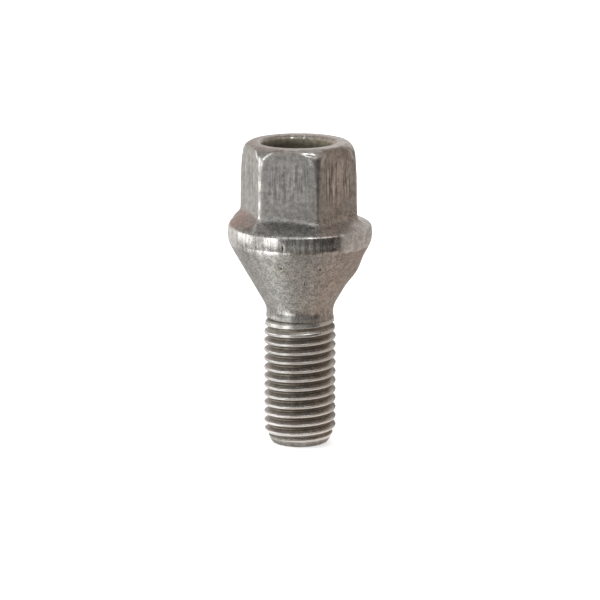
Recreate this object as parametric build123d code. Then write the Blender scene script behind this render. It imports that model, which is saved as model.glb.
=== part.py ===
from build123d import *
from build123d.topology import SkipClean
import math
import os

# Wheel bolt: one steel piece, cold headed, with its thread rolled on the shank.
# It stands on its threaded end. The origin is the centre of that end face, +Z runs along the axis to the head,
# and one flat of the hexagon faces -Y. Lengths are in millimetres and angles in degrees.

# Thread, metric 12 x 1.5, right-hand
THREAD_DIAMETER = 12.0
THREAD_ALLOWANCE = 0.15       # how far the rolled crests stay under the nominal diameter
THREAD_PITCH = 1.5
THREAD_ANGLE = 60.0
PITCH_LINE_SHARE = 3 / 8      # depth of the pitch line, as a share of the sharp triangle's height
ROOT_SHARE = 17 / 24          # depth of the root, as a share of the same height
THREAD_LENGTH = 20.9          # from the end face to the last trace of the thread
GROOVE_HEIGHT = 0.6           # height of the first groove's middle on the +X side
CREST_TAPER_LENGTH = 3.5      # the last crests fall to the neck over this length
RUNOUT_TURNS = 1.5            # the groove rises to the neck over these turns

# Shank
POINT_DIAMETER = 9.64
POINT_LENGTH = 2.1
NECK_LENGTH = 1.3             # plain stretch between the thread and the rounding under the cone
NECK_ROUNDING = 3.0

# Cone seat and collar
SEAT_ANGLE = 60.0
COLLAR_DIAMETER = 23.6
COLLAR_HEIGHT = 2.7           # between the corners where the band would meet the cone and the shoulder
COLLAR_LOWER_ROUNDING = 1.0
COLLAR_UPPER_ROUNDING = 0.8
SHOULDER_ANGLE = 38.0         # slope of the collar's top, from level

# Hexagon head
HEX_ACROSS_FLATS = 17.0       # at the foot of the hexagon
HEX_HEIGHT = 13.65            # from the collar's upper corner to the top
HEX_DRAFT = 1.0
HEX_CORNER_ROUNDING = 0.55
FOOT_ROUNDING = 0.6           # hollow rounding between the flats and the collar
TOP_RING_DIAMETER = 15.5
TOP_CHAMFER_ANGLE = 30.0
TOP_ROUNDING = 0.6

# Recess in the head
RECESS_DIAMETER = 11.7
RECESS_DEPTH = 9.0
RECESS_FLOOR_CHAMFER = 1.0
MOUTH_ROUNDING = 0.4


def tangent(angle):
    """Tangent of an angle in degrees."""
    return math.tan(math.radians(angle))


# Thread form: at the pitch line, groove and ridge are each half a pitch wide
flank_slope = tangent(THREAD_ANGLE / 2)
sharp_height = THREAD_PITCH / (2 * flank_slope)
crest_radius = (THREAD_DIAMETER - THREAD_ALLOWANCE) / 2
pitch_radius = THREAD_DIAMETER / 2 - PITCH_LINE_SHARE * sharp_height
root_radius = THREAD_DIAMETER / 2 - ROOT_SHARE * sharp_height
crest_width = THREAD_PITCH / 2 - 2 * flank_slope * (crest_radius - pitch_radius)
root_width = THREAD_PITCH / 2 - 2 * flank_slope * (pitch_radius - root_radius)
neck_radius = pitch_radius    # rolling moves metal from the roots to the crests, so the blank lies between them

# Heights
seat_bottom = THREAD_LENGTH + NECK_LENGTH + NECK_ROUNDING * tangent(SEAT_ANGLE / 4)
collar_bottom = seat_bottom + (COLLAR_DIAMETER / 2 - neck_radius) / tangent(SEAT_ANGLE / 2)
collar_top = collar_bottom + COLLAR_HEIGHT
head_top = collar_top + HEX_HEIGHT
full_thread_top = THREAD_LENGTH - CREST_TAPER_LENGTH


def turned(outline):
    """A solid turned about Z from a closed outline of radius and height."""
    return revolve(make_face(Plane.XZ * outline), axis=Axis.Z)


def groove_section():
    """Axial section of the thread groove, reaching past the crests half as far as where its turns would meet."""
    meeting = crest_width / (2 * flank_slope)
    reach = crest_radius - root_radius + meeting / 2
    root_half = root_width / 2
    mouth_half = root_half + reach * flank_slope
    corners = [
        (root_radius, -root_half),
        (root_radius + reach, -mouth_half),
        (root_radius + reach, mouth_half),
        (root_radius, root_half),
    ]
    return make_face(Plane.XZ * Polyline(*corners, close=True))


def groove_stretches():
    """The full groove in stretches of about one turn, from below the end face upwards."""
    start = GROOVE_HEIGHT - THREAD_PITCH
    height = THREAD_LENGTH - RUNOUT_TURNS * THREAD_PITCH - start
    count = math.ceil(height / THREAD_PITCH)
    rise = height / count
    turn = 360 * rise / THREAD_PITCH
    stretch = sweep(groove_section(), path=Helix(THREAD_PITCH, rise, root_radius), is_frenet=True)
    return [Pos(0, 0, start + rise * i) * Rot(0, 0, turn * i) * stretch for i in range(count)]


def runout():
    """The groove's tail, on a cone that lifts its root out of the neck."""
    height = RUNOUT_TURNS * THREAD_PITCH
    start = THREAD_LENGTH - height
    clearance = crest_width / 2
    lift = neck_radius + clearance - root_radius
    cone_angle = math.degrees(math.atan2(lift, height))
    slant_pitch = THREAD_PITCH / math.cos(math.radians(cone_angle))
    path = Helix(slant_pitch, height, root_radius, cone_angle=cone_angle)
    tail = sweep(groove_section(), path=path, is_frenet=True)
    turn = 360 * (start - GROOVE_HEIGHT) / THREAD_PITCH
    return Pos(0, 0, start) * Rot(0, 0, turn) * tail


def turned_blank():
    """Shank, cone seat, collar and the shoulder that runs in under the hexagon, turned from one outline."""
    collar_radius = COLLAR_DIAMETER / 2
    core_radius = RECESS_DIAMETER / 2
    shoulder_top = collar_top + (collar_radius - core_radius) * tangent(SHOULDER_ANGLE)
    corners = [
        (0, 0),
        (POINT_DIAMETER / 2, 0),
        (crest_radius, POINT_LENGTH),
        (crest_radius, full_thread_top),
        (neck_radius, THREAD_LENGTH),
        (neck_radius, seat_bottom),
        (collar_radius, collar_bottom),
        (collar_radius, collar_top),
        (core_radius, shoulder_top),
        (0, shoulder_top),
    ]
    roundings = [0, 0, 0, 0, 0, NECK_ROUNDING, COLLAR_LOWER_ROUNDING, COLLAR_UPPER_ROUNDING, 0, 0]
    return turned(FilletPolyline(*corners, radius=roundings, close=True))


def hexagon():
    """The drafted hexagon with its top chamfered to a ring."""
    section = RegularPolygon(HEX_ACROSS_FLATS / 2, 6, major_radius=False)
    section = fillet(section.vertices(), HEX_CORNER_ROUNDING)
    prism = extrude(Pos(0, 0, collar_top) * section, amount=HEX_HEIGHT, taper=HEX_DRAFT)
    ring_radius = TOP_RING_DIAMETER / 2
    rim_radius = HEX_ACROSS_FLATS
    rim_height = head_top - (rim_radius - ring_radius) * tangent(TOP_CHAMFER_ANGLE)
    envelope = FilletPolyline(
        (0, collar_top),
        (rim_radius, collar_top),
        (rim_radius, rim_height),
        (ring_radius, head_top),
        (0, head_top),
        radius=[0, 0, 0, TOP_ROUNDING, 0],
        close=True,
    )
    return prism & turned(envelope)


def recess():
    """The round blind recess of the head, with a chamfered floor."""
    floor = head_top - RECESS_DEPTH
    radius = RECESS_DIAMETER / 2
    outline = Polyline(
        (0, floor),
        (radius - RECESS_FLOOR_CHAMFER, floor),
        (radius, floor + RECESS_FLOOR_CHAMFER),
        (radius, head_top),
        (0, head_top),
        close=True,
    )
    return turned(outline)


def headed_blank():
    """The blank before its thread is rolled, with the foot rounding, the recess and its rounded mouth."""
    solid = turned_blank() + hexagon()
    foot = [edge for edge in solid.edges() if edge.geom_type not in (GeomType.LINE, GeomType.CIRCLE)]
    foot = ShapeList(foot).filter_by_position(Axis.Z, collar_top, collar_top + HEX_HEIGHT / 2)
    solid = fillet(foot, FOOT_ROUNDING) - recess()
    mouth = solid.edges().group_by(Axis.Z)[-1].sort_by(SortBy.RADIUS)[0]
    return fillet(mouth, MOUTH_ROUNDING)


# The stretches of the groove stay as they are cut: merged, their faces would close on themselves.
blank = headed_blank()
with SkipClean():
    wheel_bolt = blank.cut(*groove_stretches(), runout())

os.makedirs("parts", exist_ok=True)
export_step(wheel_bolt, "parts/wheel_bolt.step")
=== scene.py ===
"""A worn steel wheel bolt with a rolled thread, standing on its end in a pale studio."""

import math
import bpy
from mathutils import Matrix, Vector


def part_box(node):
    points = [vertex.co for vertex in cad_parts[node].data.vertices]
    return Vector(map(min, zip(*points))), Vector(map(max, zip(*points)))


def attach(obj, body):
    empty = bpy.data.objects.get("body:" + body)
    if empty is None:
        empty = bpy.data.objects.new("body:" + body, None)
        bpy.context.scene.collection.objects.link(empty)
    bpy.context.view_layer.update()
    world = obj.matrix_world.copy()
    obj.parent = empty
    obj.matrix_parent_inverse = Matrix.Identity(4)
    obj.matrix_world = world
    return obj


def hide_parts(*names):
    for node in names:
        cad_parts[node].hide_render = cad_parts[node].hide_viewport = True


bl_info = {
    "name": "Wheel Bolt",
    "version": (1, 0, 0),
    "blender": (4, 5, 0),
    "location": "View3D > Sidebar > Wheel Bolt",
    "description": "Models a worn steel wheel bolt around its packed frame, with a pale studio",
    "category": "Mesh",
}

from types import SimpleNamespace
from typing import NamedTuple

import bmesh
import bpy
from mathutils import Matrix, Vector, noise

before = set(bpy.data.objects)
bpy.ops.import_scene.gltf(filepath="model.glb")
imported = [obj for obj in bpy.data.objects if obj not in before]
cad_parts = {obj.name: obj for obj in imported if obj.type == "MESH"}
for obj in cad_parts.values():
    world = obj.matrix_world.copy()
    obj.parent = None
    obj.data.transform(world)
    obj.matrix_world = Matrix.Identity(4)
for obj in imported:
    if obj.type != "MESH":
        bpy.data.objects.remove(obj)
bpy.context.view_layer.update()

MM = 0.001
NODE = "wheel_bolt"
BODY = "root"
NODE_LOW, NODE_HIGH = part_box(NODE)


# Kinds of property

def length(name, description, millimetres):
    """A length, written in millimetres and kept in metres."""
    return bpy.props.FloatProperty(
        name=name, description=description, default=millimetres * MM, unit="LENGTH", precision=5,
    )


def angle(name, description, degrees):
    """An angle, written in degrees and kept in radians."""
    return bpy.props.FloatProperty(
        name=name, description=description, default=math.radians(degrees), subtype="ANGLE",
    )


def share(name, description, value):
    """A number from nought to one."""
    return bpy.props.FloatProperty(
        name=name, description=description, default=value, min=0.0, max=1.0, subtype="FACTOR",
    )


def colour(name, description, value):
    """A linear colour."""
    return bpy.props.FloatVectorProperty(
        name=name, description=description, default=value, size=3, min=0.0, max=1.0, subtype="COLOR",
    )


def number(name, description, value):
    """A plain number, such as a count of turns or a lamp's power."""
    return bpy.props.FloatProperty(name=name, description=description, default=value, min=0.0)


class ShankSizes(bpy.types.PropertyGroup):
    """The threaded shank, from its pointed end to the neck under the cone."""
    crest_diameter: length("Crest diameter", "Diameter over the rolled crests", 11.85)
    root_diameter: length("Root diameter", "Diameter at the floor of the thread groove", 10.16)
    neck_diameter: length("Neck diameter", "Diameter of the plain neck, which is the pitch diameter", 11.026)
    pitch: length("Pitch", "Rise of the thread in one turn", 1.5)
    crest_width: length("Crest width", "Width of the crest's land", 0.42)
    crest_drop: length("Crest drop", "How far the crest's land sits below the ridge's middle", 0.06)
    crest_rounding: length("Crest rounding", "How far the crest's upper corner is rounded back", 0.1)
    crest_wear: length("Crest wear", "How far the crest's lower corner is rounded back", 0.31)
    root_width: length("Root width", "Width of the groove's floor", 0.25)
    root_rounding: length("Root rounding", "How far the root's corners are rounded back", 0.1)
    groove_height: length("Groove height", "Height of the first groove's middle on the +X side", 0.62)
    thread_length: length("Thread length", "From the end face to the last trace of the thread", 21.2)
    crest_taper: length("Crest taper", "Length over which the last crests fall to the neck", 3.6)
    runout: length("Run-out", "Height over which the groove rises to the neck", 3.3)
    point_diameter: length("Point diameter", "Diameter of the flat end", 9.15)
    point_length: length("Point length", "Height of the chamfered point", 2.5)
    point_rounding: length("Point rounding", "Rounding of the end's rim", 0.3)
    joint_height: length("Joint height", "Height on the neck where the shank passes into the head", 21.9)
    joint_length: length("Joint length", "Plain stretch that joins the shank to the head", 0.25)


class HeadSizes(bpy.types.PropertyGroup):
    """The cone seat, the collar, the hexagon and its recess."""
    collar_diameter: length("Collar diameter", "Widest diameter", (NODE_HIGH.x - NODE_LOW.x) / MM)
    top_height: length("Top height", "Height of the head's top above the end face", NODE_HIGH.z / MM)
    hex_height: length("Hexagon height", "From the collar's upper corner to the top", 13.65)
    collar_height: length("Collar height", "Between the collar's upper and lower corners", 2.7)
    seat_angle: angle("Seat angle", "Whole angle of the cone seat", 60.0)
    band_crown: length("Band crown", "How far the collar's band bulges at its middle", 0.1)
    shoulder_lean: length("Shoulder lean", "How much higher the shoulder stands on one side", 0.33)
    hexagon_offset: length("Hexagon offset", "How far the hexagon stands off the axis", 0.2)
    recess_offset: length("Recess offset", "How far the recess stands off the hexagon's middle", 0.25)
    neck_rounding: length("Neck rounding", "Hollow rounding between the neck and the cone", 3.0)
    lower_rounding: length("Lower rounding", "Rounding of the collar's lower corner", 1.0)
    upper_rounding: length("Upper rounding", "Rounding of the collar's upper corner", 0.8)
    shoulder_angle: angle("Shoulder angle", "Slope of the collar's top, from level", 38.0)
    foot_angle: angle("Foot angle", "Slope of the shoulder where the flats go in, from level", 18.0)
    across_flats: length("Across flats", "Width of the hexagon at its foot", 17.0)
    draft: angle("Draft", "Lean of the flats", 0.6)
    corner_rounding: length("Corner rounding", "Rounding of the hexagon's upright edges", 0.5)
    corner_wear: length("Corner wear", "How much rounder the upright edges are worn at the top", 0.9)
    corner_flare: length("Corner flare", "Added rounding of the upright edges under the chamfer", 2.6)
    flare_height: length("Flare height", "Height over which that rounding falls off", 0.9)
    corner_ridge: length("Corner ridge", "Height of the ridges from the corners down the shoulder", 0.09)
    foot_rounding: length("Foot rounding", "Hollow rounding at the foot of the flats", 1.4)
    ring_diameter: length("Ring diameter", "Where the top ring meets the chamfer", 15.8)
    chamfer_angle: angle("Chamfer angle", "Slope of the top chamfer, from level", 30.0)
    chamfer_rounding: length("Chamfer rounding", "Rounding where the chamfer meets the flats", 1.2)
    ring_rounding: length("Ring rounding", "Rounding between the top ring and the chamfer", 0.9)
    recess_diameter: length("Recess diameter", "Width of the round recess", 11.7)
    recess_depth: length("Recess depth", "Depth of the recess", 9.0)
    floor_chamfer: length("Floor chamfer", "Chamfer round the recess's floor", 1.0)
    mouth_rounding: length("Mouth rounding", "Rounding of the recess's lip", 0.8)
    unevenness: length("Unevenness", "Depth of the slow waves that forging leaves", 0.03)


class SteelLooks(bpy.types.PropertyGroup):
    """Colours and finish of the bare steel."""
    cool: colour("Cool steel", "Clean grey of the flats and the cone", (0.365, 0.355, 0.335))
    warm: colour("Warm steel", "Brownish grey where the surface has tarnished", (0.37, 0.315, 0.28))
    grime: colour("Grime", "Dark brown in the pits and the thread's roots", (0.15, 0.13, 0.095))
    oil: colour("Oily film", "Olive brown in the recess", (0.37, 0.33, 0.25))
    rust: colour("Rust", "Reddish tint where rust has begun", (0.37, 0.25, 0.22))
    # Also the colour of the painted highlights on the band, the corner lines, the chips, the mouth glints and
    # the thread's crests.
    bright: colour("Worn edge", "Bare bright steel on rubbed edges", (0.72, 0.70, 0.67))
    roughness: share("Roughness", "Roughness of the satin surface", 0.42)
    polish: share("Polished roughness", "Roughness of the rubbed collar band and edges", 0.24)


class StudioSetup(bpy.types.PropertyGroup):
    """The camera, the lamps and what stands around the bolt."""
    camera_distance: length("Camera distance", "From the camera to the point that it looks at", 590.8)
    camera_height: length("Aim height", "Height of the point that the camera looks at", 23.82)
    camera_side: length("Aim side", "How far the camera looks to the right of the axis", 0.02)
    camera_azimuth: angle("Camera azimuth", "Turn of the camera from the front flat", 11.4)
    camera_elevation: angle("Camera elevation", "Camera's height above level", 12.55)
    camera_lens: number("Lens", "Focal length for a 36 mm sensor", 216.2)
    floor_colour: colour("Floor colour", "Colour of the pale floor", (0.82, 0.82, 0.82))


class WheelBolt(bpy.types.PropertyGroup):
    """Everything that a user would change."""
    shank: bpy.props.PointerProperty(name="Shank", description="Sizes of the shank", type=ShankSizes)
    head: bpy.props.PointerProperty(name="Head", description="Sizes of the head", type=HeadSizes)
    steel: bpy.props.PointerProperty(name="Steel", description="Looks of the steel", type=SteelLooks)
    studio: bpy.props.PointerProperty(name="Studio", description="Camera and surroundings", type=StudioSetup)


def values(group):
    """A group's properties by name, with lengths in millimetres."""
    found = {}
    for name in group.__annotations__:
        value = getattr(group, name)
        is_length = group.bl_rna.properties[name].unit == "LENGTH"
        found[name] = value / MM if is_length else value
    return SimpleNamespace(**found)


# Small helps

def limited(value, low=0.0, high=1.0):
    """The value, kept between two limits."""
    return max(low, min(high, value))


def eased(value):
    """A smooth step from nought to one."""
    t = limited(value)
    return t * t * (3 - 2 * t)

def rise(value, start, end):
    """A smooth step that is nought at the start and one at the end, which may be the smaller."""
    return eased((value - start) / (end - start))


def between(start, end, t):
    """The value a share t of the way from start to end."""
    return start + (end - start) * t


def direction(azimuth, elevation):
    """Unit vector towards a place round the bolt, with nought towards -Y."""
    level = math.cos(elevation)
    return Vector((math.sin(azimuth) * level, -math.cos(azimuth) * level, math.sin(elevation)))


def off_axis(place):
    """How far a place lies from the bolt's axis."""
    return math.hypot(place.x, place.y)


def place_round(vert, radius, height):
    """Moves a vertex to another radius and height, on its own side of the axis."""
    old = off_axis(vert.co)
    factor = radius / old if old else 0.0
    vert.co = (vert.co.x * factor, vert.co.y * factor, height)


# Wire outlines and turning

STEPS_ROUND_HEAD = 360
STEPS_ROUND_SHANK = 180
ROW_SPACING = 0.45
CLOSE_ROW_SPACING = ROW_SPACING / 3
WIDE_ROW_SPACING = 1.2
ARC_STEPS = 6
MERGE_DISTANCE = 1e-4


def wire(mesh, places):
    """New vertices at the places, each joined to the next by an edge."""
    verts = [mesh.verts.new(place) for place in places]
    for pair in zip(verts, verts[1:]):
        mesh.edges.new(pair)
    return verts


def round_off(mesh, verts, reach, segments):
    """Rounds corners of a wire, each from a reach before it to a reach after it."""
    bmesh.ops.bevel(
        mesh, geom=verts, offset=reach, offset_type="OFFSET", affect="VERTICES",
        segments=segments, profile=0.5, material=-1,
    )


def rounded_wire(mesh, corners):
    """A wire in the XZ plane through corners of radius, height and rounding."""
    places = [Vector((radius, 0, height)) for radius, height, rounding in corners]
    verts = wire(mesh, places)
    for i, (radius, height, rounding) in enumerate(corners):
        if rounding:
            back = places[i - 1] - places[i]
            ahead = places[i + 1] - places[i]
            round_off(mesh, [verts[i]], rounding / math.tan(back.angle(ahead) / 2), ARC_STEPS)


def divide_long_edges(mesh, edges, spacing):
    """Cuts each of the edges that is longer than the spacing."""
    for edge in edges:
        cuts = int(edge.calc_length() / spacing)
        if cuts:
            bmesh.ops.subdivide_edges(mesh, edges=[edge], cuts=cuts)


def turn(mesh, steps, climb=0.0, angle=math.tau):
    """Turns the wire about Z, climbing in all by so much, and merges what meets."""
    closed = angle == math.tau and not climb
    bmesh.ops.spin(
        mesh, geom=mesh.verts[:] + mesh.edges[:], cent=(0, 0, 0), axis=(0, 0, 1),
        dvec=(0, 0, climb / steps), angle=angle, steps=steps, use_merge=closed,
    )
    bmesh.ops.remove_doubles(mesh, verts=mesh.verts[:], dist=MERGE_DISTANCE)


# Shank

RUNOUT_POWER = 0.42
SPARE_TURNS = 2
WORN_ARC_STEPS = 4
FINE_ARC_STEPS = 2


def thread_wire(mesh, shank):
    """The thread's outline on the +X side, from below the end face to above the joint."""
    crest = shank.crest_diameter / 2
    root = shank.root_diameter / 2
    turns = math.ceil(shank.joint_height / shank.pitch) + SPARE_TURNS
    corners = []
    for i in range(-SPARE_TURNS, turns):
        groove = shank.groove_height + i * shank.pitch
        ridge = groove + shank.pitch / 2 - shank.crest_drop
        corners.append((root, groove - shank.root_width / 2))
        corners.append((root, groove + shank.root_width / 2))
        corners.append((crest, ridge - shank.crest_width / 2))
        corners.append((crest, ridge + shank.crest_width / 2))
    verts = wire(mesh, [(radius, 0, height) for radius, height in corners])
    low_crests = verts[2:-1:4]
    high_crests = verts[3:-1:4]
    roots = verts[1:-1:4] + verts[4:-1:4]
    round_off(mesh, low_crests, shank.crest_wear, WORN_ARC_STEPS)
    round_off(mesh, high_crests, shank.crest_rounding, FINE_ARC_STEPS)
    round_off(mesh, roots, shank.root_rounding, FINE_ARC_STEPS)
    for end in (verts[0], verts[-1]):
        mesh.verts.remove(end)


def thread_limits(shank, height):
    """The radius of the root and of the crest at a height, which meet at the neck."""
    neck = shank.neck_diameter / 2
    left = shank.thread_length - height
    lowest = between(neck, shank.root_diameter / 2, limited(left / shank.runout) ** RUNOUT_POWER)
    under_joint = shank.joint_height - height
    highest = between(neck, shank.crest_diameter / 2, limited(under_joint / shank.crest_taper))
    return lowest, highest


def shank_radius(shank, radius, height):
    """The radius of a point of the thread once the run-out and the chamfered point have shaped it."""
    crest = shank.crest_diameter / 2
    radius = limited(radius, *thread_limits(shank, height))
    point = shank.point_diameter / 2
    cone = point + (crest - point) * height / shank.point_length
    rim = limited(1 - height / shank.point_rounding)
    rounding = shank.point_rounding * (1 - math.sqrt(1 - rim * rim))
    return min(radius, cone - rounding)


def make_shank():
    """The threaded shank, open at the top and closed at its flat end."""
    shank = values(bpy.context.scene.wheel_bolt.shank)
    mesh = bmesh.new()
    thread_wire(mesh, shank)
    turn(mesh, STEPS_ROUND_SHANK, shank.pitch)
    for height, side in ((0.0, -1), (shank.joint_height, 1)):
        bmesh.ops.bisect_plane(
            mesh, geom=mesh.verts[:] + mesh.edges[:] + mesh.faces[:], dist=MERGE_DISTANCE,
            plane_co=(0, 0, height), plane_no=(0, 0, side), clear_outer=True,
        )
    for vert in mesh.verts:
        radius = shank_radius(shank, off_axis(vert.co), vert.co.z)
        place_round(vert, radius, vert.co.z)
    end = [edge for edge in mesh.edges if edge.is_boundary and edge.verts[0].co.z < shank.point_length / 2]
    cap = bmesh.ops.holes_fill(mesh, edges=end, sides=0)
    bmesh.ops.poke(mesh, faces=cap["faces"])
    return mesh


# Head

HEX_SIDES = 6
SECTOR = math.tau / HEX_SIDES
HALF_SECTOR = SECTOR / 2
CORNER_CROWDING = 0.45
SHARP_CORNER = 4
SHARP_CORNER_WEAR = 0.3
EDGE_WAVES_APART = 3.7
EDGE_WAVE_SCALE = 0.55
EDGE_WAVE_DEPTH = 0.35
EDGE_WEAR = (0.5, 0.9)
FLARE_SPAN = 0.5
FLARE_REACH = 3
CORNER_LINES = "corner_lines"
CORNER_LINE_WIDTH = 0.42
CORNER_LINE_LAND = 1.4
CORNER_LINE_END = 0.15
RIDGE_HALF_WIDTH = 0.6
RIDGE_FADE = 0.5
FOOT_SHARE = 0.7
LEAN_RISE = (-0.6, 1.2)
LEAN_FALL = (6.0, 2.0)
SHIFT_RISE = (0.0, 1.6)


def head_heights(shank, head):
    """The heights that the head's outline turns at."""
    collar = head.collar_diameter / 2
    top = head.top_height - head.hex_height
    bottom = top - head.collar_height
    seat = bottom - (collar - shank.neck_diameter / 2) / math.tan(head.seat_angle / 2)
    return SimpleNamespace(collar_top=top, collar_bottom=bottom, seat_bottom=seat)


def apothem(head, heights, height):
    """Half the width across flats at a height."""
    return head.across_flats / 2 - (height - heights.collar_top) * math.tan(head.draft)


def off_tangent(half_width, rounding, off_corner):
    """How far a place on the hexagon lies past the end of a corner's rounding, towards the corner."""
    half_side = half_width * math.tan(HALF_SECTOR)
    off_middle = half_width * math.tan(HALF_SECTOR - abs(off_corner))
    return off_middle - half_side + rounding * math.tan(HALF_SECTOR)


def hexagon_radius(half_width, rounding, off_corner):
    """Radius of the rounded hexagon at an angle from its nearest corner."""
    if off_tangent(half_width, rounding, off_corner) < 0:
        return half_width / math.cos(HALF_SECTOR - abs(off_corner))
    centre = (half_width - rounding) / math.cos(HALF_SECTOR)
    across = centre * math.sin(off_corner)
    return centre * math.cos(off_corner) + math.sqrt(max(0.0, rounding ** 2 - across ** 2))


def corner_radius(head, heights, height):
    """How far the unworn upright edges stand from the hexagon's axis at a height."""
    return hexagon_radius(apothem(head, heights, height), head.corner_rounding, 0.0)


def chamfer_start(head, heights):
    """Height at which the chamfer meets the hexagon's upright edges."""
    rim = corner_radius(head, heights, head.top_height)
    return head.top_height - (rim - head.ring_diameter / 2) * math.tan(head.chamfer_angle)


def rounding_at(head, heights, height, corner):
    """Rounding of an upright edge at a height: uneven, and worn rounder towards the top."""
    waves = noise.noise(Vector((EDGE_WAVES_APART * corner, 0.0, EDGE_WAVE_SCALE * height)))
    uneven = head.corner_rounding * (1 + EDGE_WAVE_DEPTH * waves)
    most_wear = head.corner_wear * (SHARP_CORNER_WEAR if corner == SHARP_CORNER else 1.0)
    wear = most_wear * rise((height - heights.collar_top) / head.hex_height, *EDGE_WEAR)
    under = max(0.0, chamfer_start(head, heights) - height)
    flare = head.corner_flare * math.exp(-under / head.flare_height)
    return uneven + wear + flare


def head_corners(shank, head, heights):
    """Radius, height and rounding of each corner of the head's outline through a corner of the hexagon."""
    neck = shank.neck_diameter / 2
    collar = head.collar_diameter / 2
    ring = head.ring_diameter / 2
    mouth = head.recess_diameter / 2
    top = head.top_height
    floor = top - head.recess_depth
    slope = math.tan(head.shoulder_angle)
    foot = corner_radius(head, heights, heights.collar_top + slope)
    rim = corner_radius(head, heights, top)
    return [
        (neck, shank.joint_height + shank.joint_length, 0),
        (neck, heights.seat_bottom, head.neck_rounding),
        (collar, heights.collar_bottom, head.lower_rounding),
        (collar, heights.collar_top, head.upper_rounding),
        (foot, heights.collar_top + (collar - foot) * slope, head.foot_rounding),
        (rim, chamfer_start(head, heights), head.chamfer_rounding),
        (ring, top, head.ring_rounding),
        (mouth, top, head.mouth_rounding),
        (mouth, floor + head.floor_chamfer, 0),
        (mouth - head.floor_chamfer, floor, 0),
        (0, floor, 0),
    ]


def crowd_to_corners(mesh):
    """Slides the columns of vertices round the axis, so that they lie closer at the hexagon's corners."""
    for vert in mesh.verts:
        around = math.atan2(vert.co.y, vert.co.x)
        slide = -CORNER_CROWDING * math.sin(HEX_SIDES * around) / HEX_SIDES
        vert.co.rotate(Matrix.Rotation(slide, 3, "Z"))


def top_height_at(head, radius):
    """Height of the turned top at a radius: level, rounded and then falling with the chamfer."""
    ring = head.ring_diameter / 2
    start = ring - head.ring_rounding * math.tan(head.chamfer_angle / 2)
    end = start + head.ring_rounding * math.sin(head.chamfer_angle)
    if radius < start:
        return head.top_height
    if radius < end:
        sunk = head.ring_rounding - math.sqrt(head.ring_rounding ** 2 - (radius - start) ** 2)
        return head.top_height - sunk
    return head.top_height - (radius - ring) * math.tan(head.chamfer_angle)


def corner_line(head, heights, height, rounding, off_corner):
    """One along the lines where a flared corner's rounding meets the flats, below the chamfer, where the
    material paints a highlight.
    """
    flared = eased((rounding - head.corner_rounding - head.corner_wear) / FLARE_SPAN)
    below = rise(height - chamfer_start(head, heights), CORNER_LINE_END, -CORNER_LINE_END)
    off_line = abs(off_tangent(apothem(head, heights, height), rounding, off_corner))
    return flared * below * eased(CORNER_LINE_LAND - off_line / CORNER_LINE_WIDTH)


def shoulder_ridge(head, outer, full, radius, off_corner):
    """Height of the faint ridge that runs from a corner down the shoulder, between two radii."""
    across = eased(1 - abs(off_corner) * radius / RIDGE_HALF_WIDTH)
    ends = eased((outer - radius) / RIDGE_FADE) * eased((radius - full) / RIDGE_FADE)
    return head.corner_ridge * across * ends


def press_flats(mesh, head, heights):
    """Presses the six flats into the round head, lifting the foot and the chamfer's edge as they go in."""
    slope = head.shoulder_angle
    outer = head.collar_diameter / 2 - head.upper_rounding * math.sin(slope)
    foot_reach = head.foot_rounding * math.tan(math.pi / 4 - slope / 2) * math.cos(slope)
    ring = head.ring_diameter / 2
    middle = between(heights.collar_top, head.top_height, 0.5)
    lines = mesh.verts.layers.float.new(CORNER_LINES)
    for vert in mesh.verts:
        radius = off_axis(vert.co)
        height = vert.co.z
        if height < heights.collar_top or radius < ring:
            continue
        around = math.atan2(vert.co.y, vert.co.x)
        corner = round(around / SECTOR)
        off_corner = around - SECTOR * corner
        full = corner_radius(head, heights, height)
        rounding = rounding_at(head, heights, height, corner % HEX_SIDES)
        depth = full - hexagon_radius(apothem(head, heights, height), rounding, off_corner)
        # The corner lines carry a painted highlight.
        vert[lines] = corner_line(head, heights, height, rounding, off_corner)
        if height < middle:
            part = (outer - radius) / (outer - full - foot_reach)
            ridge = shoulder_ridge(head, outer, full, radius, off_corner)
        else:
            part = (radius - ring) / (full - ring)
            ridge = 0.0
        move = limited(part) * depth
        climb = eased((height - heights.collar_top) / (FOOT_SHARE * head.hex_height))
        foot_rise = move * math.tan(head.foot_angle)
        top_rise = top_height_at(head, radius - move) - top_height_at(head, radius)
        place_round(vert, radius - move, height + between(foot_rise, top_rise, climb) + ridge)


def crown_band(mesh, head, heights):
    """Draws the band in towards its upper and lower edges, which leaves it bulging."""
    collar = head.collar_diameter / 2
    middle = between(heights.collar_bottom, heights.collar_top, 0.5)
    half = head.collar_height / 2
    for vert in mesh.verts:
        radius = off_axis(vert.co)
        off_middle = abs(vert.co.z - middle) / half
        if off_middle < 2 and radius > collar / 2:
            bow = off_middle ** 2 if off_middle < 1 else eased(2 - off_middle)
            place_round(vert, radius - head.band_crown * bow, vert.co.z)


def set_off_centre(mesh, head, heights, left):
    """Moves the hexagon and its recess a little to one side, and lifts the shoulder there."""
    for vert in mesh.verts:
        above = vert.co.z - heights.collar_top
        if above < LEAN_RISE[0]:
            continue
        outwards = Vector((vert.co.x, vert.co.y, 0)).normalized()
        inner = rise(off_axis(vert.co), head.ring_diameter / 2, head.recess_diameter / 2)
        lift = rise(above, *LEAN_RISE) * rise(above, *LEAN_FALL) * (1 - inner)
        vert.co.z += head.shoulder_lean * outwards.dot(left) * lift
        vert.co += left * (head.hexagon_offset * rise(above, *SHIFT_RISE) + head.recess_offset * inner)


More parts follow.
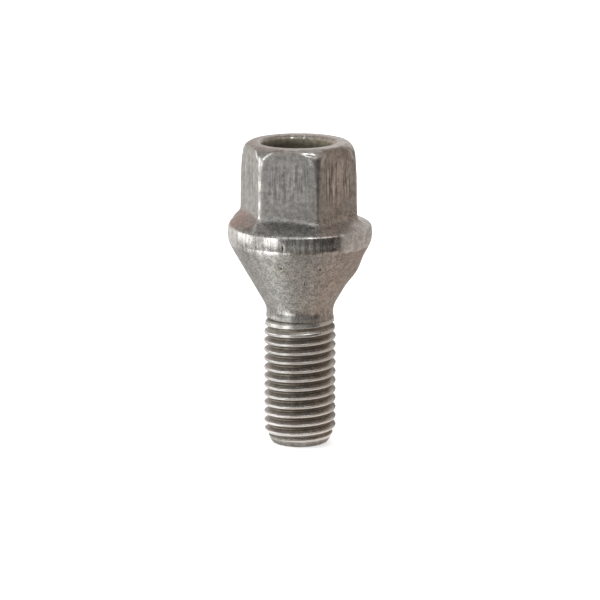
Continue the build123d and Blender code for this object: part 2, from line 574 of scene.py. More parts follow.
def make_head():
    """The head from the neck to the floor of the recess, open at the neck."""
    groups = bpy.context.scene.wheel_bolt
    shank = values(groups.shank)
    head = values(groups.head)
    heights = head_heights(shank, head)
    mesh = bmesh.new()
    rounded_wire(mesh, head_corners(shank, head, heights))
    mouth = head.recess_diameter / 2
    outside = [edge for edge in mesh.edges if max(vert.co.x for vert in edge.verts) > mouth + MERGE_DISTANCE]
    divide_long_edges(mesh, outside, ROW_SPACING)
    flare_foot = chamfer_start(head, heights) - FLARE_REACH * head.flare_height
    flared = [
        edge for edge in mesh.edges
        if all(vert.co.z > flare_foot and vert.co.x > mouth for vert in edge.verts)
    ]
    divide_long_edges(mesh, flared, CLOSE_ROW_SPACING)
    divide_long_edges(mesh, mesh.edges[:], WIDE_ROW_SPACING)
    turn(mesh, STEPS_ROUND_HEAD)
    crowd_to_corners(mesh)
    press_flats(mesh, head, heights)
    crown_band(mesh, head, heights)
    set_off_centre(mesh, head, heights, direction(groups.studio.camera_azimuth - math.pi / 2, 0))
    return mesh


# Bolt

SLOW_WAVE_SCALE = 0.35
QUICK_WAVE_SCALE = 1.1
SLOW_WAVE_SHARE = 0.65
WAVES_APART = Vector((7, 3, 5))


def join_parts(parts):
    """One mesh of several, which are freed."""
    whole = bmesh.new()
    for part in parts:
        carrier = bpy.data.meshes.new("carrier")
        part.to_mesh(carrier)
        part.free()
        whole.from_mesh(carrier)
        bpy.data.meshes.remove(carrier)
    return whole


def add_unevenness(mesh, depth):
    """Sinks the surface by slow waves, as forging leaves it, and never lifts it."""
    mesh.normal_update()
    moves = []
    for vert in mesh.verts:
        slow = noise.noise(vert.co * SLOW_WAVE_SCALE)
        quick = noise.noise(vert.co * QUICK_WAVE_SCALE + WAVES_APART)
        wave = between(quick, slow, SLOW_WAVE_SHARE)
        moves.append(vert.normal * depth * (wave * 0.5 + 0.5))
    for vert, move in zip(mesh.verts, moves):
        if vert.co.z > MERGE_DISTANCE:
            vert.co -= move


# Flaws that this bolt shows, and spots of painted shade and painted glint

class Spot(NamedTuple):
    """A place on the surface: degrees round from the front flat's middle, and millimetres."""
    turn: float
    height: float
    half_width: float
    half_height: float
    depth: float


SEAT_BULGE = Spot(100, 29.1, 4.5, 2.9, -0.42)
BAND_NICK = Spot(-2.4, 34.75, 0.17, 1.0, 0.22)
LEFT_PIT = Spot(-5.8, 31.1, 0.32, 0.36, 0.13)
RIGHT_PIT = Spot(30.4, 30.9, 0.32, 0.36, 0.11)
CONE_MARK = Spot(16.7, 28.4, 0.15, 0.85, 0.07)
RIGHT_CHIP = Spot(19.5, 49.65, 1.5, 0.38, 0.07)
RIGHT_CHIP_TAIL = Spot(25.0, 49.4, 0.7, 0.4, 0.06)
CORNER_KNOCK = Spot(-90, 48.7, 2.4, 1.5, 0.08)
# Two glints painted bright on the recess's lip.
LEFT_LIP_GLINT = Spot(-156.1, 49.8, 0.42, 0.42, 0.0)
RIGHT_LIP_GLINT = Spot(184.5, 49.8, 0.32, 0.42, 0.0)
PRESSED_SPOTS = (
    SEAT_BULGE, BAND_NICK, LEFT_PIT, RIGHT_PIT, CONE_MARK, RIGHT_CHIP, RIGHT_CHIP_TAIL, CORNER_KNOCK,
)
OIL_STAIN = Spot(-9.5, 30.8, 1.1, 0.7, 0.0)
RIGHT_RUST = Spot(84, 31.8, 3.2, 2.2, 0.0)
LEFT_RUST = Spot(-64, 37.4, 4.2, 2.4, 0.0)
BAND_RUST = Spot(-60, 35.0, 3.0, 2.0, 0.0)
# Two spots of painted shade.
FLAT_SHADE = Spot(58, 40.0, 4.6, 2.4, 0.0)
NECK_SHADE = Spot(-52, 22.3, 3.2, 1.3, 0.0)
CHIP_WEAR_AND_HIGHLIGHTS = (RIGHT_CHIP, RIGHT_CHIP_TAIL)
SHADED_SPOTS = (FLAT_SHADE, NECK_SHADE)
LIP_GLINTS = (LEFT_LIP_GLINT, RIGHT_LIP_GLINT)
RUST_SPOTS = (RIGHT_RUST, LEFT_RUST, BAND_RUST)
DARK_SPOTS = (BAND_NICK, LEFT_PIT, RIGHT_PIT, CONE_MARK)
SMALL_SPOT = 0.5
FINE_REACH = 2.5
FINE_CUTS = 3


def turn_of(place):
    """Degrees round from the front flat's middle, to the right above nought."""
    return math.degrees(math.atan2(place.x, -place.y))


def off_spot(place, spot):
    """How far a place lies from a spot's middle, round the axis and upwards, in the spot's half sizes."""
    turn = (turn_of(place) - spot.turn + 180) % 360 - 180
    across = math.radians(turn) * off_axis(place) / spot.half_width
    return abs(across), abs(place.z - spot.height) / spot.half_height


def nearness(place, spot):
    """One at a spot's middle, falling to nought at its rim."""
    across, up = off_spot(place, spot)
    return eased(1 - across) * eased(1 - up)


def strongest(place, spots):
    """The greatest nearness of a place to any of the spots."""
    return max(nearness(place, spot) for spot in spots)


def press_spots(mesh):
    """Makes the mesh finer round the small spots, and then presses each spot in or out."""
    for spot in PRESSED_SPOTS:
        if spot.half_width < SMALL_SPOT:
            around = {vert for vert in mesh.verts if max(off_spot(vert.co, spot)) < FINE_REACH}
            edges = [edge for edge in mesh.edges if around.issuperset(edge.verts)]
            bmesh.ops.subdivide_edges(mesh, edges=edges, cuts=FINE_CUTS, use_grid_fill=True)
        mesh.normal_update()
        for vert in mesh.verts:
            near = nearness(vert.co, spot)
            if near:
                vert.co -= vert.normal * (spot.depth * near)


# Marks of use and of painted light and shade: each tells how strong it is at a place, from nought to one

SECTOR_TURN = 360 / HEX_SIDES
FRONT_CORNER = -30
BACK_TURN = 90
BAND_BELOW = 0.3
BAND_INSET = 0.1
BAND_FADE = 0.3
RING_WIDTH = 1.5
FRONT_STREAKS = 0.55
PLAIN_TOP = 0.3
PLAIN_SHARE = 0.65
SHOULDER_TARNISH_HEIGHT = 2.5
SHOULDER_TARNISH = 0.9
SIDE_TARNISH = 0.35
BACK_TARNISH_SHARE = 0.6
EVEN_TARNISH = 0.5
BACK_PATCH_SCALE = 0.16
NECK_POLISH = 0.8
GLEAM_WAVES = (0.06, 0.5)
GLEAM_LEVEL = 0.55
GLEAM_PATCHES = 0.9
BACK_DULL = 0.3
MOUTH_MARGIN = 0.3
CREST_MARGIN = 0.03
LEAST_GROOVE = 0.1
END_RING_SHARE = 0.4
EDGE_WIDTH = 0.45
EDGE_LAND = 1.2
FRONT_CORNER_HIGHLIGHTS = (-50, 28)
CORNER_HIGHLIGHT_STRENGTH = 1.3
FAINT_CORNER_HIGHLIGHTS = 0.4
RUB_LEVEL = 0.75
RUB_PATCHES = 0.8
RUB_SCALE = 0.9
RUB_SPREAD = 0.1
SPOT_WEAR_AND_HIGHLIGHT = 1.6
EDGE_DARKENING = 0.4
EDGE_DARKENING_SPREAD = 0.3
GROOVE_DIRT = 0.55
END_SHADE = 0.45
SPOT_SHADE = 0.2


def on_band(at):
    """One on the collar's band, fading out past its edges."""
    below = at.heights.collar_bottom - BAND_BELOW - at.co.z
    return eased(1 - max(below, at.above + BAND_INSET) / BAND_FADE)


def on_neck(at, below, half_height):
    """One at a height below the foot of the cone, fading out above and below it."""
    return eased(1 - abs(at.co.z - at.heights.seat_bottom + below) / half_height)


def in_mouth(at):
    """Whether a place lies within the mouth of the recess."""
    return at.radius < at.mouth + at.head.recess_offset + MOUTH_MARGIN


def on_groove(at):
    """One along the line of the groove, also where it has run out."""
    pitch = at.shank.pitch
    middle = at.shank.groove_height + pitch * math.atan2(at.co.y, at.co.x) / math.tau
    return rise(abs((at.co.z - middle + pitch / 2) % pitch - pitch / 2), 0.5, 0.3)


def on_edges(at, first_turn, spread):
    """One along every second upright edge of the hexagon, from the first one on."""
    off_edge = abs((at.turn - first_turn + SECTOR_TURN) % (2 * SECTOR_TURN) - SECTOR_TURN)
    width = EDGE_WIDTH + spread * limited(at.above / at.head.hex_height)
    line = eased(EDGE_LAND - math.radians(off_edge) * at.radius / width)
    ends = rise(at.above, 0.0, 1.0) * rise(at.head.hex_height - at.above, 0.6, 1.6)
    return line * rise(at.radius - at.mouth, 1.5, 2.0) * ends


def streaked(at):
    """Upright streaks on the flats, fainter on the two in front."""
    if at.radius < at.mouth + RING_WIDTH or at.above < 0:
        return 0.0
    strength = FRONT_STREAKS if abs(at.turn - FRONT_CORNER) < SECTOR_TURN else 1.0
    off_corner = abs(at.turn % SECTOR_TURN - SECTOR_TURN / 2)
    ends = rise(at.above, 3.5, 6.5) * rise(at.head.hex_height - at.above, 1.2, 3.7)
    return strength * rise(off_corner, 4, 13) * ends


def speckled(at):
    """Speckles all over, fainter on the flats, the top, the band and the neck."""
    outside = at.radius > at.mouth + RING_WIDTH
    flats = rise(at.above, 2.0, 3.5) if outside else PLAIN_TOP
    return 1.0 - PLAIN_SHARE * max(
        flats * (at.above > 0), on_band(at), on_neck(at, 0.8, 1.4),
    )


def tarnished(at):
    """Brownish tarnish on the right and far left, behind, on the thread and on the top."""
    on_shoulder = 0 < at.above < SHOULDER_TARNISH_HEIGHT
    left = rise(at.turn, -22, -38) * (SHOULDER_TARNISH if on_shoulder else SIDE_TARNISH)
    sides = max(rise(at.turn, 18, 42), left)
    around = between(sides, BACK_TARNISH_SHARE, rise(abs(at.turn), 90, 140))
    evenly = at.co.z < at.shank.thread_length or at.above > at.head.hex_height - 1.0
    return max(around, EVEN_TARNISH if evenly else 0.0)


def polished(at):
    """Rubbed smooth: the band in front, patches of it behind, and the neck."""
    band = rise(at.turn, -62, -50) * rise(at.turn, 47, 42)
    if abs(at.turn) > BACK_TURN:
        band = max(band, rise(noise.noise(at.co * BACK_PATCH_SCALE), 0.05, 0.25))
    return max(on_band(at) * band, NECK_POLISH * on_neck(at, 0.6, 1.6))


def gleaming(at):
    """Painted highlight: the brightest stretch of the band, in patches, painted pale."""
    turn_scale, height_scale = GLEAM_WAVES
    waves = noise.noise(Vector((turn_scale * at.turn, 0.0, height_scale * at.co.z)))
    stretch = rise(at.turn, -60, -46) * rise(at.turn, 4, -4)
    return on_band(at) * stretch * limited(GLEAM_LEVEL + GLEAM_PATCHES * waves)


def dulled(at):
    """Pale and dull stretches of the band, on both sides of the polished one."""
    sides = max(rise(at.turn, 44, 49), rise(at.turn, -48, -58))
    return on_band(at) * between(sides, BACK_DULL, rise(abs(at.turn), 80, 120))


def recess(at):
    """The film in the recess, from a little below the top."""
    inside = at.above >= 0 and in_mouth(at)
    return rise(at.head.top_height - at.co.z, 0.1, 0.6) if inside else 0.0


def deep(at):
    """Painted shade towards the floor of the recess."""
    return recess(at) * rise(at.head.top_height - at.co.z, 0.1, 2.1)


def groove(at):
    """Depth in the thread's groove, and a little at the ring of the end."""
    lowest, highest = thread_limits(at.shank, at.co.z)
    outside = shank_radius(at.shank, at.shank.crest_diameter / 2, max(0.0, at.co.z))
    depth = (outside - at.radius - CREST_MARGIN) / max(LEAST_GROOVE, min(outside, highest) - lowest)
    return limited(max(depth, END_RING_SHARE * rise(highest - outside, 0.72, 0.87)))


def thread(at):
    """One over the length of the thread."""
    return rise(at.co.z - at.shank.thread_length, 0.6, -0.6)


def corner_highlight(at):
    """Painted highlight: bright lines at the flared corners, strongest in front."""
    first, last = FRONT_CORNER_HIGHLIGHTS
    strength = 1.0 if first < at.turn < last else FAINT_CORNER_HIGHLIGHTS
    return limited(CORNER_HIGHLIGHT_STRENGTH * strength * at.line)


def rubbed(at):
    """Bare bright metal on upright edges and chips, and painted highlight on the flared corners' lines, on
    the chips and as two glints in the mouth.
    """
    uneven = limited(RUB_LEVEL + RUB_PATCHES * noise.noise(at.co * RUB_SCALE))
    edges = on_edges(at, FRONT_CORNER, RUB_SPREAD) * uneven
    spots = strongest(at.co, LIP_GLINTS if in_mouth(at) else CHIP_WEAR_AND_HIGHLIGHTS)
    return max(limited(SPOT_WEAR_AND_HIGHLIGHT * spots), edges, corner_highlight(at))


def soiled(at):
    """Dirt in the flaws and in the groove's two ends, darker along every second upright edge, and painted
    shade at the end's ring and at the shade spots.
    """
    edges = on_edges(at, FRONT_CORNER + SECTOR_TURN, EDGE_DARKENING_SPREAD)
    edges = EDGE_DARKENING * edges * rise(at.above / at.head.hex_height, 0.08, 0.58)
    left = at.shank.thread_length - at.co.z
    trace = rise(left, 1.0, 0.7) * rise(left, -0.1, 0.1)
    end_groove = rise(at.co.z, 1.9, 1.5) * rise(at.co.z, 0.5, 0.7)
    groove = GROOVE_DIRT * on_groove(at) * max(trace, end_groove)
    # Painted shade round the end.
    ring = END_SHADE * rise(at.co.z, 1.0, 0.7)
    shade = SPOT_SHADE * strongest(at.co, SHADED_SPOTS)
    return max(strongest(at.co, DARK_SPOTS), edges, groove, ring, shade)


def rusted(at):
    """Places where rust has begun."""
    return strongest(at.co, RUST_SPOTS)


def oiled(at):
    """The stain on the cone."""
    return nearness(at.co, OIL_STAIN)


MARKS = (
    streaked, speckled, tarnished, polished, gleaming, dulled, recess, deep, groove, thread, rubbed, soiled,
    rusted, oiled,
)


def measure_surface(mesh, shank, head, heights):
    """Keeps how strong each mark is at each vertex, for the material to read."""
    layers = [(mark, mesh.verts.layers.float.new(mark.__name__)) for mark in MARKS]
    lines = mesh.verts.layers.float[CORNER_LINES]
    at = SimpleNamespace(shank=shank, head=head, heights=heights, mouth=head.recess_diameter / 2)
    for vert in mesh.verts:
        at.co = vert.co
        at.turn = turn_of(vert.co)
        at.radius = off_axis(vert.co)
        at.above = vert.co.z - heights.collar_top
        at.line = vert[lines]
        for mark, layer in layers:
            vert[layer] = mark(at)


def make_bolt_mesh():
    """The whole bolt as one closed mesh, in metres."""
    groups = bpy.context.scene.wheel_bolt
    shank = values(groups.shank)
    head = values(groups.head)
    mesh = join_parts([make_shank(), make_head()])
    neck = [edge for edge in mesh.edges if edge.is_boundary]
    bmesh.ops.bridge_loops(mesh, edges=neck)
    bmesh.ops.recalc_face_normals(mesh, faces=mesh.faces[:])
    if mesh.calc_volume(signed=True) < 0:
        bmesh.ops.reverse_faces(mesh, faces=mesh.faces[:])
    open_edges = [edge for edge in mesh.edges if not edge.is_manifold]
    if open_edges:
        raise RuntimeError(f"the bolt's mesh has {len(open_edges)} edges that aren't closed")
    heights = head_heights(shank, head)
    add_unevenness(mesh, head.unevenness)
    press_spots(mesh)
    measure_surface(mesh, shank, head, heights)
    bmesh.ops.scale(mesh, vec=(MM, MM, MM), verts=mesh.verts[:])
    for face in mesh.faces:
        face.smooth = True
    return mesh


# Materials

class Nodes:
    """A short way to lay out the nodes of a material or a world."""

    def __init__(self, owner):
        owner.use_nodes = True
        self.tree = owner.node_tree
        self.tree.nodes.clear()

    def add(self, kind, inputs=None, **settings):
        """A node with its settings, whose inputs are values or other nodes' outputs."""
        node = self.tree.nodes.new(kind)
        for name, value in settings.items():
            setattr(node, name, value)
        for key, value in (inputs or {}).items():
            if isinstance(value, bpy.types.NodeSocket):
                self.tree.links.new(value, node.inputs[key])
            else:
                node.inputs[key].default_value = value
        return node

    def attribute(self, name):
        """A number kept on the mesh's vertices."""
        return self.add("ShaderNodeAttribute", attribute_name=name).outputs["Fac"]

    def grain(self, place, scale, detail=2.0, roughness=0.5):
        """A cloudy pattern, from nought to one."""
        node = self.add(
            "ShaderNodeTexNoise",
            {"Vector": place, "Scale": scale, "Detail": detail, "Roughness": roughness},
        )
        return node.outputs["Fac"]

    def stretched(self, place, scale):
        """Coordinates scaled differently along each axis."""
        return self.add("ShaderNodeMapping", {"Vector": place, "Scale": scale}).outputs["Vector"]

    def math(self, operation, first, second=0.0):
        """One step of arithmetic."""
        return self.add("ShaderNodeMath", {0: first, 1: second}, operation=operation).outputs[0]

    def times(self, first, second):
        """Two factors multiplied."""
        return self.math("MULTIPLY", first, second)

    def most(self, first, second):
        """The greater of two."""
        return self.math("MAXIMUM", first, second)

    def ramp(self, value, low, high, out_low=0.0, out_high=1.0):
        """A value brought from one range to another, smoothly and within limits."""
        node = self.add(
            "ShaderNodeMapRange",
            {"Value": value, "From Min": low, "From Max": high, "To Min": out_low, "To Max": out_high},
            interpolation_type="SMOOTHSTEP",
        )
        return node.outputs["Result"]

    def blend(self, factor, first, second):
        """A mix of two colours."""
        node = self.add("ShaderNodeMix", {"Factor": factor}, data_type="RGBA")
        for key, value in (("A", first), ("B", second)):
            socket = next(s for s in node.inputs if s.name == key and s.type == "RGBA")
            if isinstance(value, bpy.types.NodeSocket):
                self.tree.links.new(value, socket)
            else:
                socket.default_value = (*value, 1.0)
        return next(s for s in node.outputs if s.type == "RGBA")

    def shade(self, paint, factor):
        """A colour made lighter or darker."""
        return self.add("ShaderNodeVectorMath", {0: paint, "Scale": factor}, operation="SCALE").outputs[0]

    def only_on(self, mask, factor):
        """A factor where the mask is one, and plain one where it is nought."""
        return self.math("ADD", self.times(self.math("SUBTRACT", factor, 1.0), mask), 1.0)

    def seen(self):
        """One for what the camera, shiny things and clear things see, and nought for the light it gives."""
        path = self.add("ShaderNodeLightPath").outputs
        seen = self.most(path["Is Camera Ray"], path["Is Glossy Ray"])
        return self.most(seen, path["Is Transmission Ray"])


# Patterns of the steel: their scales, and then how strongly each of them works

FINE_STREAK_SCALE = (5200.0, 5200.0, 330.0)
BROAD_STREAK_SCALE = (1900.0, 1900.0, 140.0)
PATCH_SCALE = 0.3
SPECKLE_SCALE = 4.2
BLOTCH_SCALE = 1.2
PIT_SCALE = 1.6
DETAIL = 3.0
GRAININESS = 0.6
OIL_SHARE = 0.6
PALE_SHARE = 0.8
PIT_GRIME = 0.5
THREAD_GRIME = 0.15
ROOT_GRIME = 0.6
WEAR_AND_HIGHLIGHT_SHARE = 0.9
CREST_WEAR_AND_HIGHLIGHT = 0.7
DULL_ROUGHNESS = 0.2
BAND_RELIEF = 0.4
PIT_RELIEF = 0.9
RELIEF_STRENGTH = 0.7
RELIEF_DEPTH = 0.02


def steel_patterns(nodes):
    """The marks kept on the mesh, and the patterns that colour, finish and relief share."""
    found = SimpleNamespace(**{mark.__name__: nodes.attribute(mark.__name__) for mark in MARKS})
    metres = nodes.add("ShaderNodeTexCoord").outputs["Object"]
    place = nodes.stretched(metres, (1 / MM, 1 / MM, 1 / MM))
    fine_streaks = nodes.grain(nodes.stretched(metres, FINE_STREAK_SCALE), 1.0)
    broad_streaks = nodes.grain(nodes.stretched(metres, BROAD_STREAK_SCALE), 1.0)
    found.streaks = nodes.times(nodes.math("ADD", fine_streaks, broad_streaks), 0.5)
    found.patches = nodes.ramp(nodes.grain(place, PATCH_SCALE, DETAIL), 0.36, 0.64, 0.6, 1.0)
    found.fine = nodes.grain(place, SPECKLE_SCALE, roughness=GRAININESS)
    found.blotches = nodes.grain(place, BLOTCH_SCALE, DETAIL, GRAININESS)
    found.pits = nodes.times(nodes.ramp(nodes.grain(place, PIT_SCALE), 0.68, 0.76), found.speckled)
    # The thread's crests: worn bright, and painted highlight.
    found.crests = nodes.times(found.thread, nodes.ramp(found.groove, 0.22, 0.04))
    found.rubbed = nodes.times(found.rubbed, nodes.ramp(found.blotches, 0.25, 0.5, 0.5, 1.0))
    return found


def steel_colour(nodes, looks, on):
    """The steel's colour, from the clean grey up to the dirt that lies on top, with painted highlights and
    painted shade among the layers.
    """
    tone = nodes.blend(nodes.times(on.tarnished, on.patches), looks.cool, looks.warm)
    tone = nodes.blend(nodes.times(on.rusted, nodes.ramp(on.blotches, 0.3, 0.65, 0.3, 1.0)), tone, looks.rust)
    tone = nodes.blend(nodes.times(on.oiled, OIL_SHARE), tone, looks.oil)
    # The band's painted highlight and its pale dull stretches, both towards the worn-edge colour.
    pale = nodes.most(nodes.times(on.gleaming, PALE_SHARE), nodes.times(on.dulled, PALE_SHARE))
    tone = nodes.blend(pale, tone, looks.bright)
    tone = nodes.shade(tone, nodes.only_on(on.speckled, nodes.ramp(on.fine, 0.28, 0.72, 0.58, 1.42)))
    tone = nodes.shade(tone, nodes.ramp(on.blotches, 0.28, 0.72, 0.76, 1.22))
    tone = nodes.shade(tone, nodes.only_on(on.streaked, nodes.ramp(on.streaks, 0.38, 0.62, 0.48, 1.56)))
    tone = nodes.shade(tone, nodes.only_on(on.polished, nodes.ramp(on.streaks, 0.36, 0.64, 0.62, 1.4)))
    tone = nodes.blend(nodes.times(on.pits, PIT_GRIME), tone, looks.grime)
    tone = nodes.blend(nodes.times(on.thread, THREAD_GRIME), tone, looks.grime)
    # Bare worn steel and painted highlight: edges, chips, corner lines, mouth glints and the thread's crests.
    worn = nodes.most(nodes.times(on.rubbed, WEAR_AND_HIGHLIGHT_SHARE), nodes.times(on.crests, CREST_WEAR_AND_HIGHLIGHT))
    tone = nodes.blend(worn, tone, looks.bright)
    # Painted highlight: the worn and lit places made lighter still.
    tone = nodes.shade(tone, nodes.ramp(on.rubbed, 0.5, 1.0, 1.0, 1.3))
    tone = nodes.blend(nodes.times(nodes.ramp(on.groove, 0.6, 0.95), ROOT_GRIME), tone, looks.grime)
    # Dirt, darker edges and painted shade darken the colour.
    tone = nodes.shade(tone, nodes.ramp(on.soiled, 0.0, 1.0, 1.0, 0.15))
    film = nodes.times(on.recess, nodes.ramp(on.rubbed, 0.1, 0.5, 1.0, 0.0))
    tone = nodes.blend(film, tone, looks.oil)
    tone = nodes.shade(tone, nodes.only_on(film, nodes.ramp(on.blotches, 0.3, 0.7, 0.72, 1.28)))
    # Painted shade: a little lighter at the recess's lip and darker towards its floor.
    return nodes.shade(tone, nodes.only_on(on.recess, nodes.ramp(on.deep, 0.0, 1.0, 1.1, 0.42)))


def steel_roughness(nodes, looks, on):
    """The steel's roughness, which is least where it is rubbed."""
    smooth = nodes.most(on.polished, nodes.most(on.rubbed, on.crests))
    rough = nodes.ramp(smooth, 0.0, 1.0, looks.roughness, looks.polish)
    rough = nodes.math("ADD", rough, nodes.times(on.dulled, DULL_ROUGHNESS))
    return nodes.math("ADD", rough, nodes.ramp(on.fine, 0.3, 0.7, -0.06, 0.06))


def steel_relief(nodes, on):
    """The fine relief of grain, streaks and pits."""
    grain = nodes.times(on.fine, nodes.ramp(on.polished, 0.0, 1.0, 0.6, 0.12))
    drag = nodes.times(on.streaks, nodes.math("ADD", nodes.times(on.polished, BAND_RELIEF), on.streaked))
    height = nodes.math("SUBTRACT", nodes.math("ADD", grain, drag), nodes.times(on.pits, PIT_RELIEF))
    bump = {"Height": height, "Strength": RELIEF_STRENGTH, "Distance": RELIEF_DEPTH * MM}
    return nodes.add("ShaderNodeBump", bump).outputs["Normal"]


def steel_material():
    """Bare forged steel: satin and speckled, streaked on its flats, rubbed on edges and collar, with painted
    highlights on the collar, corners and crests and painted shade in the recess and at the end.
    """
    looks = bpy.context.scene.wheel_bolt.steel
    material = bpy.data.materials.new("worn_steel")
    nodes = Nodes(material)
    on = steel_patterns(nodes)
    inputs = {
        "Base Color": steel_colour(nodes, looks, on),
        "Roughness": steel_roughness(nodes, looks, on),
        "Metallic": nodes.ramp(on.recess, 0.0, 1.0, 1.0, 0.2),
        "Normal": steel_relief(nodes, on),
    }
    shader = nodes.add("ShaderNodeBsdfPrincipled", inputs)
    nodes.add("ShaderNodeOutputMaterial", {"Surface": shader.outputs["BSDF"]})
    return material


def pale_material(name, paint, glow):
    """A pale surface that the camera and shiny things see as white, and that keeps shadows."""
    material = bpy.data.materials.new(name)
    nodes = Nodes(material)
    matt = nodes.add("ShaderNodeBsdfDiffuse", {"Color": (*paint, 1.0)})
    light = nodes.add("ShaderNodeEmission", {"Strength": nodes.times(nodes.seen(), glow)})
    both = nodes.add("ShaderNodeAddShader", {0: matt.outputs[0], 1: light.outputs[0]})
    nodes.add("ShaderNodeOutputMaterial", {"Surface": both.outputs[0]})
    return material


def card_material(name, paint, level):
    """An even card, of one colour and level from every side."""
    material = bpy.data.materials.new(name)
    nodes = Nodes(material)
    light = nodes.add("ShaderNodeEmission", {"Color": (*paint, 1.0), "Strength": level})
    nodes.add("ShaderNodeOutputMaterial", {"Surface": light.outputs[0]})
    return material


# Pieces

def add_object(name, mesh, material):
    """An object of a bmesh, which is freed, at the origin."""
    data = bpy.data.meshes.new(name)
    mesh.to_mesh(data)
    mesh.free()
    data.materials.append(material)
    made = bpy.data.objects.new(name, data)
    bpy.context.scene.collection.objects.link(made)
    return made


class WHEELBOLT_OT_make_bolt(bpy.types.Operator):
    """Make the steel bolt in place of the frame's plain one"""
    bl_idname = "wheel_bolt.make_bolt"
    bl_label = "Make Bolt"

    def execute(self, context):
        bolt = add_object("steel_wheel_bolt", make_bolt_mesh(), steel_material())
        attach(bolt, BODY)
        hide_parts(NODE)
        return {"FINISHED"}


# Studio, in metres

FLOOR_RADIUS = 3.0
FLOOR_STEPS = 64
FLOOR_GLOW = 0.6
WORLD_LEVEL = 0.4
SENSOR_WIDTH = 36.0
NEAREST_SEEN = 0.01
NEUTRAL = (1.0, 1.0, 1.0)
WARM = (1.0, 0.91, 0.84)
PINK = (1.0, 0.90, 0.87)
CARD_STEPS = 32
INNER_WALL = 0.135
WALL = 0.14
LEFT_WALL = 0.141
OUTER_WALL = 0.145
WALL_FOOT = 0.001
CEILING = 0.30
LOW_LAYER = 0.0004
MIDDLE_LAYER = 0.0006
UPPER_LAYER = 0.0008


class Card(NamedTuple):
    """A card round the bolt: degrees from the camera, the line that is turned, and its look."""
    name: str
    start: float
    end: float
    low: tuple
    high: tuple
    level: float
    paint: tuple


def wall(name, start, end, low, high, level, paint=NEUTRAL, radius=WALL):
    """An upright card, from one height to another."""
    return Card(name, start, end, (radius, low), (radius, high), level, paint)


def sheet(name, start, end, near, far, level, paint=NEUTRAL, height=LOW_LAYER):
    """A level card, from one radius to another."""
    return Card(name, start, end, (near, height), (far, height), level, paint)


CARDS = (
    wall("left_back_card", -180, -125, 0.05, CEILING, 0.82, PINK),
    wall("left_panel", -112, -80, WALL_FOOT, 0.009, 0.95),
    wall("left_panel_top", -112, -80, 0.009, 0.07, 2.3),
    wall("left_gap", -80, -57, WALL_FOOT, 0.07, 0.9),
    wall("left_strip", -57, -33, 0.004, 0.09, 2.0),
    wall("left_upper", -125, -33, 0.07, CEILING, 0.45, radius=LEFT_WALL),
    wall("front_low", -33, 6, WALL_FOOT, 0.010, 0.60),
    wall("front_card", -33, 6, 0.010, CEILING, 0.29),
    wall("front_right", 6, 21, WALL_FOOT, CEILING, 0.28),
    wall("dim_card", 21, 36, WALL_FOOT, CEILING, 0.20),
    wall("dark_card", 36, 68, WALL_FOOT, CEILING, 0.14),
    wall("front_lamp", 5, 35, 0.13, 0.19, 4.0, radius=INNER_WALL),
    wall("right_lamp", 35, 68, 0.13, 0.19, 1.7, radius=INNER_WALL),
    wall("front_glow", -33, 5, 0.10, 0.19, 1.2, radius=INNER_WALL),
    wall("right_card", 68, 130, WALL_FOOT, CEILING, 0.50, WARM),
    wall("right_back_card", 130, 165, WALL_FOOT, 0.06, 0.28, WARM),
    wall("right_back_upper", 130, 160, 0.13, CEILING, 0.35, WARM),
    wall("back_glow", 150, 195, 0.05, 0.13, 1.3, radius=OUTER_WALL),
    sheet("near_left", -180, -45, 0.007, 0.014, 1.6),
    sheet("left_floor", -180, -45, 0.014, 0.07, 1.04),
    sheet("left_mid_floor", -180, -85, 0.030, 0.07, 0.72, height=MIDDLE_LAYER),
    sheet("far_floor", -112, -45, 0.07, 0.35, 0.60),
    sheet("left_back_floor", -180, -112, 0.07, 0.35, 0.90),
    sheet("floor_strip", -85, -18, 0.034, 0.066, 1.5, height=MIDDLE_LAYER),
    sheet("floor_gleam", -60, -36, 0.034, 0.066, 2.9, height=UPPER_LAYER),
    sheet("floor_gap", -85, -30, 0.072, 0.135, 0.42, height=MIDDLE_LAYER),
    sheet("near_floor", -45, 35, 0.007, 0.013, 1.0, WARM),
    sheet("floor_card", -45, 35, 0.013, 0.035, 0.55, WARM),
    sheet("dim_floor", -45, 35, 0.035, 0.13, 0.36, WARM),
    sheet("near_right", 35, 160, 0.007, 0.013, 1.1, WARM),
    sheet("right_floor", 35, 160, 0.013, 0.045, 0.70, WARM),
    sheet("right_dim_floor", 35, 160, 0.045, 0.13, 0.60, WARM),
    sheet("dark_floor", 30, 68, 0.06, 0.135, 0.14, height=MIDDLE_LAYER),
    sheet("ceiling_card", -130, 130, 0.0, 0.40, 0.22, height=CEILING),
    sheet("ceiling_back", 130, 230, 0.0, 0.25, 1.4, height=CEILING),
)
# Name, degrees from the camera and above level, distance, width and power in watts
LAMPS = (
    ("key_lamp", -75, 40, 0.55, 0.34, 1.6),
    ("back_lamp", 160, 45, 0.60, 0.34, 1.2),
)


def make_floor(studio):
    """A wide pale floor under the bolt."""
    mesh = bmesh.new()
    bmesh.ops.create_circle(mesh, cap_ends=True, segments=FLOOR_STEPS, radius=FLOOR_RADIUS)
    floor = add_object("floor", mesh, pale_material("pale_floor", studio.floor_colour, FLOOR_GLOW))


def make_cards(studio):
    """Cards round the bolt that only its reflections show."""
    for card in CARDS:
        mesh = bmesh.new()
        start = direction(studio.camera_azimuth + math.radians(card.start), 0)
        wire(mesh, [start * radius + Vector((0, 0, height)) for radius, height in (card.low, card.high)])
        turn(mesh, CARD_STEPS, angle=math.radians(card.end - card.start))
        made = add_object(card.name, mesh, card_material(card.name, card.paint, card.level))
        made.visible_camera = False
        made.visible_diffuse = False
        made.visible_shadow = False


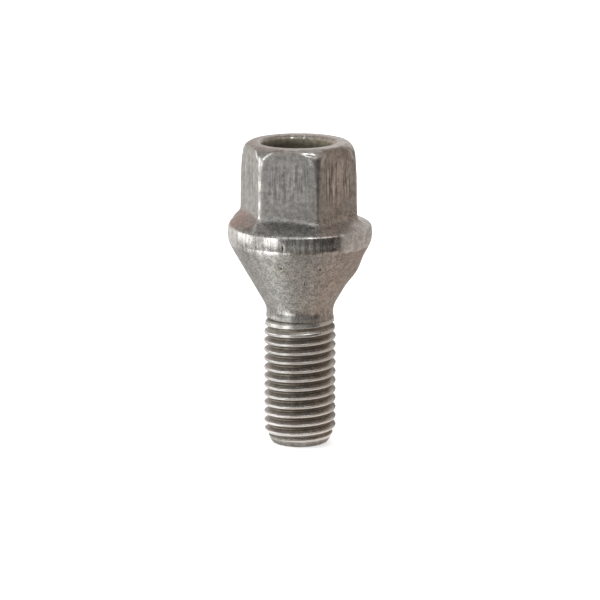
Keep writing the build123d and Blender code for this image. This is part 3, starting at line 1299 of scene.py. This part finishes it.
def make_lamps(studio):
    """Soft square lamps, aimed at the bolt."""
    aim = Vector((0, 0, studio.camera_height))
    for name, azimuth, elevation, distance, size, power in LAMPS:
        data = bpy.data.lights.new(name, "AREA")
        data.size = size
        data.energy = power
        made = bpy.data.objects.new(name, data)
        towards = direction(studio.camera_azimuth + math.radians(azimuth), math.radians(elevation))
        made.location = aim + towards * distance
        made.rotation_euler = towards.to_track_quat("Z", "Y").to_euler()
        made.visible_glossy = False
        bpy.context.scene.collection.objects.link(made)


def make_world():
    """A plain grey room that the camera and shiny things see as white."""
    world = bpy.data.worlds.new("pale_room")
    nodes = Nodes(world)
    strength = nodes.ramp(nodes.seen(), 0.0, 1.0, WORLD_LEVEL, 1.0)
    room = nodes.add("ShaderNodeBackground", {"Color": (*NEUTRAL, 1.0), "Strength": strength})
    nodes.add("ShaderNodeOutputWorld", {"Surface": room.outputs[0]})
    bpy.context.scene.world = world


def make_camera(studio):
    """A long lens at the height and turn of the bolt's best view."""
    data = bpy.data.cameras.new("camera")
    data.sensor_width = SENSOR_WIDTH
    data.lens = studio.camera_lens
    data.clip_start = NEAREST_SEEN
    camera = bpy.data.objects.new("camera", data)
    towards = direction(studio.camera_azimuth, studio.camera_elevation)
    right = direction(studio.camera_azimuth + math.pi / 2, 0)
    aim = Vector((0, 0, studio.camera_height)) + right * studio.camera_side
    camera.location = aim + towards * studio.camera_distance
    camera.rotation_euler = towards.to_track_quat("Z", "Y").to_euler()
    bpy.context.scene.collection.objects.link(camera)
    bpy.context.scene.camera = camera


class WHEELBOLT_OT_make_studio(bpy.types.Operator):
    """Make the floor, the cards, the lamps, the room and the camera"""
    bl_idname = "wheel_bolt.make_studio"
    bl_label = "Make Studio"

    def execute(self, context):
        studio = context.scene.wheel_bolt.studio
        make_floor(studio)
        make_cards(studio)
        make_lamps(studio)
        make_world()
        make_camera(studio)
        context.scene.view_settings.view_transform = "Standard"
        return {"FINISHED"}


class WHEELBOLT_PT_sidebar(bpy.types.Panel):
    """The bolt's sizes, its looks and the studio"""
    bl_idname = "WHEELBOLT_PT_sidebar"
    bl_label = "Wheel Bolt"
    bl_space_type = "VIEW_3D"
    bl_region_type = "UI"
    bl_category = "Wheel Bolt"

    def draw(self, context):
        layout = self.layout
        groups = context.scene.wheel_bolt
        layout.operator(WHEELBOLT_OT_make_bolt.bl_idname)
        layout.operator(WHEELBOLT_OT_make_studio.bl_idname)
        for group in (groups.shank, groups.head, groups.steel, groups.studio):
            box = layout.box()
            for name in group.__annotations__:
                box.prop(group, name)


CLASSES = (
    ShankSizes,
    HeadSizes,
    SteelLooks,
    StudioSetup,
    WheelBolt,
    WHEELBOLT_OT_make_bolt,
    WHEELBOLT_OT_make_studio,
    WHEELBOLT_PT_sidebar,
)


def register():
    """Registers the classes and the scene's properties."""
    for each in CLASSES:
        bpy.utils.register_class(each)
    bpy.types.Scene.wheel_bolt = bpy.props.PointerProperty(
        name="Wheel bolt", description="Sizes and looks of the wheel bolt", type=WheelBolt,
    )


def unregister():
    """Takes the classes and the scene's properties out again."""
    del bpy.types.Scene.wheel_bolt
    for each in reversed(CLASSES):
        bpy.utils.unregister_class(each)


def main():
    """Makes the bolt and the studio."""
    register()
    bpy.ops.wheel_bolt.make_bolt()
    bpy.ops.wheel_bolt.make_studio()


if __name__ == "__main__":
    main()
